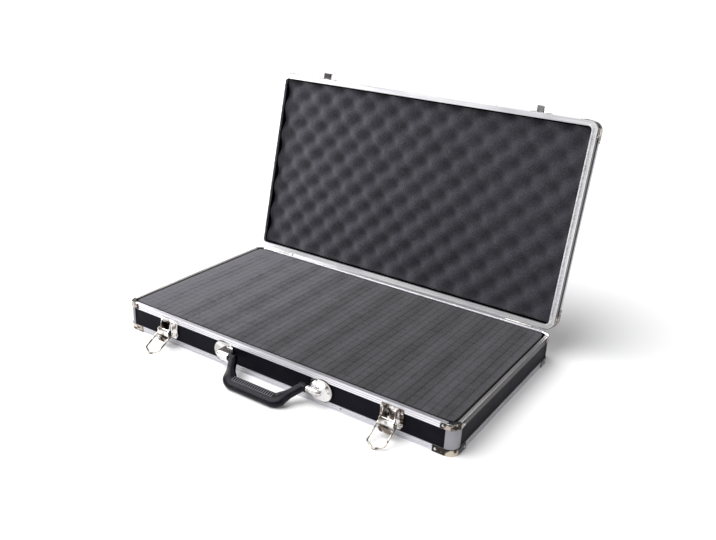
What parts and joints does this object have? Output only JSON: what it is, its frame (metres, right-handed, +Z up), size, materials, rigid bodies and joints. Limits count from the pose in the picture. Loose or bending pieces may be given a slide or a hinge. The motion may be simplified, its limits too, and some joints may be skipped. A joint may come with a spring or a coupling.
{
  "type": "aluminium framed tool case",
  "caption": "Shallow aluminium-framed tool case, open, with black panels, foam in lid and base, draw latches and a folding handle.",
  "frame": {"origin": "centre of the underside, on the surface that the case stands on", "axes": "+X to the right along the front, +Y to the back where the hinges are, +Z up"},
  "size_m": [0.6034, 0.4782, 0.3834],
  "materials": {
    "frame": "satin, ribbed along its length",
    "post": "satin",
    "corner_plate": "plated",
    "plated": "plated",
    "rivet": "plated",
    "panel": "fine pebbled foil on board",
    "base_foam": "scored open-cell foam",
    "lid_foam": "egg-crate foam",
    "grip": "moulded, semi-gloss"
  },
  "bodies": {
    "base": {"base_front_rim": "frame", "base_right_rim": "frame", "base_back_rim": "frame", "base_left_rim": "frame", "base_rim_corners": "frame", "base_front_edging": "frame", "base_right_edging": "frame", "base_back_edging": "frame", "base_left_edging": "frame", "base_corner_posts": "post", "base_front_panel": "panel", "base_right_panel": "panel", "base_back_panel": "panel", "base_left_panel": "panel", "base_bottom_panel": "panel", "base_rim_brackets": "corner_plate", "base_foot_corners": "corner_plate", "base_frame_rivets": "rivet", "base_foam_pad": "base_foam", "base_foam": "base_foam", "hinge_base_leaves": "plated", "hinge_pins": "plated", "hinge_base_rivets": "rivet", "latch_plate_left": "plated", "latch_plate_right": "plated", "latch_pins": "plated", "latch_rivets": "rivet", "handle_mount_left": "plated", "handle_mount_right": "plated", "handle_rivets": "rivet"},
    "lid": {"lid_front_rim": "frame", "lid_right_rim": "frame", "lid_back_rim": "frame", "lid_left_rim": "frame", "lid_rim_corners": "frame", "lid_front_edging": "frame", "lid_right_edging": "frame", "lid_back_edging": "frame", "lid_left_edging": "frame", "lid_corner_posts": "post", "lid_front_panel": "panel", "lid_right_panel": "panel", "lid_back_panel": "panel", "lid_left_panel": "panel", "lid_top_panel": "panel", "lid_rim_brackets": "corner_plate", "lid_box_corners": "corner_plate", "lid_frame_rivets": "rivet", "lid_foam": "lid_foam", "keeper_left": "plated", "keeper_right": "plated", "keeper_rivets": "rivet", "hinge_lid_leaves": "plated", "hinge_lid_rivets": "rivet"},
    "handle": {"handle_grip": "grip", "handle_pins": "plated"},
    "lever_left": {"latch_lever_left": "plated"},
    "lever_right": {"latch_lever_right": "plated"},
    "bail_left": {"latch_bail_left": "plated"},
    "bail_right": {"latch_bail_right": "plated"}
  },
  "joints": [
    {"name": "lid_hinge", "type": "hinge", "parent": "base", "child": "lid", "pos_m": [0, 0.1679, 0.0476], "axis": [-1, 0, 0], "range_deg": [-102, 0]},
    {"name": "handle_pivot", "type": "hinge", "parent": "base", "child": "handle", "pos_m": [0, -0.175, 0.0245], "axis": [-1, 0, 0], "range_deg": [0, 116]},
    {"name": "lever_left_pivot", "type": "hinge", "parent": "base", "child": "lever_left", "pos_m": [-0.2055, -0.1769, 0.0285], "axis": [-1, 0, 0], "range_deg": [0, 100]},
    {"name": "bail_left_pivot", "type": "hinge", "parent": "lever_left", "child": "bail_left", "pos_m": [-0.2055, -0.1761, 0.0217], "axis": [1, 0, 0], "range_deg": [-124.91, 0]},
    {"name": "lever_right_pivot", "type": "hinge", "parent": "base", "child": "lever_right", "pos_m": [0.2055, -0.1769, 0.0285], "axis": [-1, 0, 0], "range_deg": [0, 100]},
    {"name": "bail_right_pivot", "type": "hinge", "parent": "lever_right", "child": "bail_right", "pos_m": [0.2055, -0.1761, 0.0217], "axis": [1, 0, 0], "range_deg": [-124.91, 0]}
  ]
}
